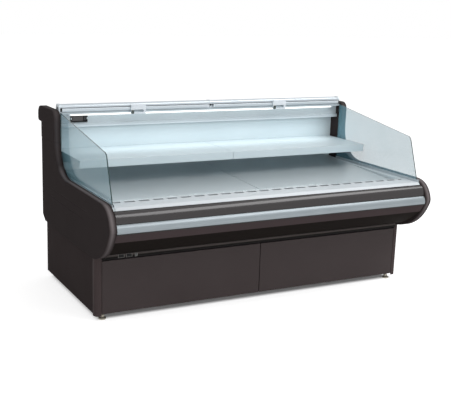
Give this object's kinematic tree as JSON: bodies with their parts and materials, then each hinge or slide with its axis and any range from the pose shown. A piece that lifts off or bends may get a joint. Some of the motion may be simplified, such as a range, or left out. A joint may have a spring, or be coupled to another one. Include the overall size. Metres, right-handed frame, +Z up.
{
  "type": "refrigerated display cabinet",
  "caption": "Low open-front refrigerated display cabinet with a rounded bumper nose, side glasses, an upper shelf, roll-up night blinds and a plinth on levelling feet.",
  "frame": {"origin": "on the floor under the centre of the bounding box", "axes": "+X along the cabinet to the right as seen from its open front, -Y out of the open front, +Z up"},
  "size_m": [1.955, 1.176, 1.0353],
  "materials": {
    "dark_moulding": "fine-textured dark grey-brown moulding",
    "dark_sheet": "powder-coated dark grey-brown sheet steel",
    "frame_steel": "painted steel frame",
    "pale_sheet": "pale grey-blue coated sheet steel",
    "bumper": "satin dark extrusion",
    "bumper_metal": "satin stainless strip",
    "black_plastic": "black plastic",
    "white_plastic": "glossy white plastic",
    "foam_body": "white lined foam body",
    "aluminium": "satin anodised aluminium",
    "coil": "bare fins with copper pipes",
    "compressor_black": "black painted steel shell",
    "lamp": "white lamp diffuser",
    "zinc": "zinc plated steel",
    "glass": "clear toughened glass with green edges"
  },
  "bodies": {
    "cabinet": {"base_frame": "frame_steel", "corner_post_left": "dark_moulding", "corner_post_right": "dark_moulding", "end_panel_left": "dark_moulding", "end_panel_right": "dark_moulding", "upright_cover_left": "dark_moulding", "upright_cover_right": "dark_moulding", "switch_rail": "dark_moulding", "side_panel_left": "dark_sheet", "side_panel_right": "dark_sheet", "rear_panel": "dark_sheet", "condenser_fan_shroud": "dark_sheet", "lower_fascia": "dark_sheet", "compressor": "compressor_black", "condenser_coil": "coil", "evaporator_coil": "coil", "drain_pipe": "black_plastic", "air_honeycomb": "black_plastic", "thermostat": "black_plastic", "blind_bracket_middle": "black_plastic", "blind_end_cap_left": "black_plastic", "blind_end_cap_right": "black_plastic", "insulated_tub": "foam_body", "fan_plate": "pale_sheet", "back_panel": "pale_sheet", "hood": "pale_sheet", "front_sill": "pale_sheet", "shelf_bracket_left": "pale_sheet", "shelf_bracket_middle": "pale_sheet", "shelf_bracket_right": "pale_sheet", "lamp": "lamp", "blind_housing_left": "aluminium", "blind_housing_right": "aluminium", "glass_channel_left": "aluminium", "glass_channel_right": "aluminium", "upper_bumper": "bumper", "silver_bumper": "bumper_metal", "side_glass_left": "glass", "side_glass_right": "glass"},
    "foot_front_left": {"levelling_foot_front_left": "zinc"},
    "foot_rear_left": {"levelling_foot_rear_left": "zinc"},
    "foot_front_right": {"levelling_foot_front_right": "zinc"},
    "foot_rear_right": {"levelling_foot_rear_right": "zinc"},
    "front_panel_left": {"front_panel_left": "dark_sheet"},
    "evaporator_fan_left": {"evaporator_fan_left": "black_plastic"},
    "blind_left": {"blind_pull_bar_left": "aluminium", "blind_handle_left": "white_plastic"},
    "blind_roller_left": {"blind_roller_left": "aluminium"},
    "rocker_switch_left": {"rocker_switch_left": "black_plastic"},
    "deck_pan_left": {"deck_pan_left": "pale_sheet"},
    "shelf_left": {"shelf_left": "pale_sheet"},
    "front_panel_right": {"front_panel_right": "dark_sheet"},
    "evaporator_fan_right": {"evaporator_fan_right": "black_plastic"},
    "blind_right": {"blind_pull_bar_right": "aluminium", "blind_handle_right": "white_plastic"},
    "blind_roller_right": {"blind_roller_right": "aluminium"},
    "rocker_switch_right": {"rocker_switch_right": "black_plastic"},
    "deck_pan_right": {"deck_pan_right": "pale_sheet"},
    "shelf_right": {"shelf_right": "pale_sheet"},
    "condenser_fan": {"condenser_fan": "black_plastic"}
  },
  "joints": [
    {"name": "foot_front_left_turn", "type": "hinge", "parent": "cabinet", "child": "foot_front_left", "pos_m": [-0.9125, -0.3087, 0.035], "axis": [0, 0, 1], "continuous": true},
    {"name": "foot_rear_left_turn", "type": "hinge", "parent": "cabinet", "child": "foot_rear_left", "pos_m": [-0.9125, 0.4717, 0.035], "axis": [0, 0, 1], "continuous": true},
    {"name": "foot_front_right_turn", "type": "hinge", "parent": "cabinet", "child": "foot_front_right", "pos_m": [0.9125, -0.3087, 0.035], "axis": [0, 0, 1], "continuous": true},
    {"name": "foot_rear_right_turn", "type": "hinge", "parent": "cabinet", "child": "foot_rear_right", "pos_m": [0.9125, 0.4717, 0.035], "axis": [0, 0, 1], "continuous": true},
    {"name": "front_panel_left_pull", "type": "slide", "parent": "cabinet", "child": "front_panel_left", "axis": [0, -1, 0], "range_m": [0, 0.15]},
    {"name": "front_panel_right_pull", "type": "slide", "parent": "cabinet", "child": "front_panel_right", "axis": [0, -1, 0], "range_m": [0, 0.15]},
    {"name": "evaporator_fan_left_spin", "type": "hinge", "parent": "cabinet", "child": "evaporator_fan_left", "pos_m": [-0.43, -0.313, 0.5015], "axis": [0, 1, 0], "continuous": true},
    {"name": "evaporator_fan_right_spin", "type": "hinge", "parent": "cabinet", "child": "evaporator_fan_right", "pos_m": [0.43, -0.313, 0.5015], "axis": [0, 1, 0], "continuous": true},
    {"name": "condenser_fan_spin", "type": "hinge", "parent": "cabinet", "child": "condenser_fan", "pos_m": [-0.33, 0.3307, 0.1653], "axis": [0, 1, 0], "continuous": true},
    {"name": "blind_left_pull", "type": "slide", "parent": "cabinet", "child": "blind_left", "axis": [0, -0.9232, -0.3844], "range_m": [0, 0.848], "stiffness_N_per_m": 6, "springref_m": -0.9},
    {"name": "blind_roller_left_turn", "type": "hinge", "parent": "cabinet", "child": "blind_roller_left", "pos_m": [-0.4662, 0.347, 1.0108], "axis": [1, 0, 0], "range_deg": [-3040, 0]},
    {"name": "blind_right_pull", "type": "slide", "parent": "cabinet", "child": "blind_right", "axis": [0, -0.9232, -0.3844], "range_m": [0, 0.848], "stiffness_N_per_m": 6, "springref_m": -0.9},
    {"name": "blind_roller_right_turn", "type": "hinge", "parent": "cabinet", "child": "blind_roller_right", "pos_m": [0.4662, 0.347, 1.0108], "axis": [1, 0, 0], "range_deg": [-3040, 0]},
    {"name": "rocker_switch_left_rock", "type": "hinge", "parent": "cabinet", "child": "rocker_switch_left", "pos_m": [-0.8265, -0.35, 0.34], "axis": [0, 0, 1], "range_deg": [-8, 8]},
    {"name": "rocker_switch_right_rock", "type": "hinge", "parent": "cabinet", "child": "rocker_switch_right", "pos_m": [-0.7835, -0.35, 0.34], "axis": [0, 0, 1], "range_deg": [-8, 8]},
    {"name": "deck_pan_left_lift", "type": "slide", "parent": "cabinet", "child": "deck_pan_left", "axis": [0, 0, 1], "range_m": [0, 0.04]},
    {"name": "deck_pan_right_lift", "type": "slide", "parent": "cabinet", "child": "deck_pan_right", "axis": [0, 0, 1], "range_m": [0, 0.04]},
    {"name": "shelf_left_lift", "type": "slide", "parent": "cabinet", "child": "shelf_left", "axis": [0, 0, 1], "range_m": [0, 0.1]},
    {"name": "shelf_right_lift", "type": "slide", "parent": "cabinet", "child": "shelf_right", "axis": [0, 0, 1], "range_m": [0, 0.1]}
  ],
  "couplings": [
    {"joint": "blind_roller_left_turn", "follows": "blind_left_pull", "rad_per_m": -62.5},
    {"joint": "blind_roller_right_turn", "follows": "blind_right_pull", "rad_per_m": -62.5}
  ]
}
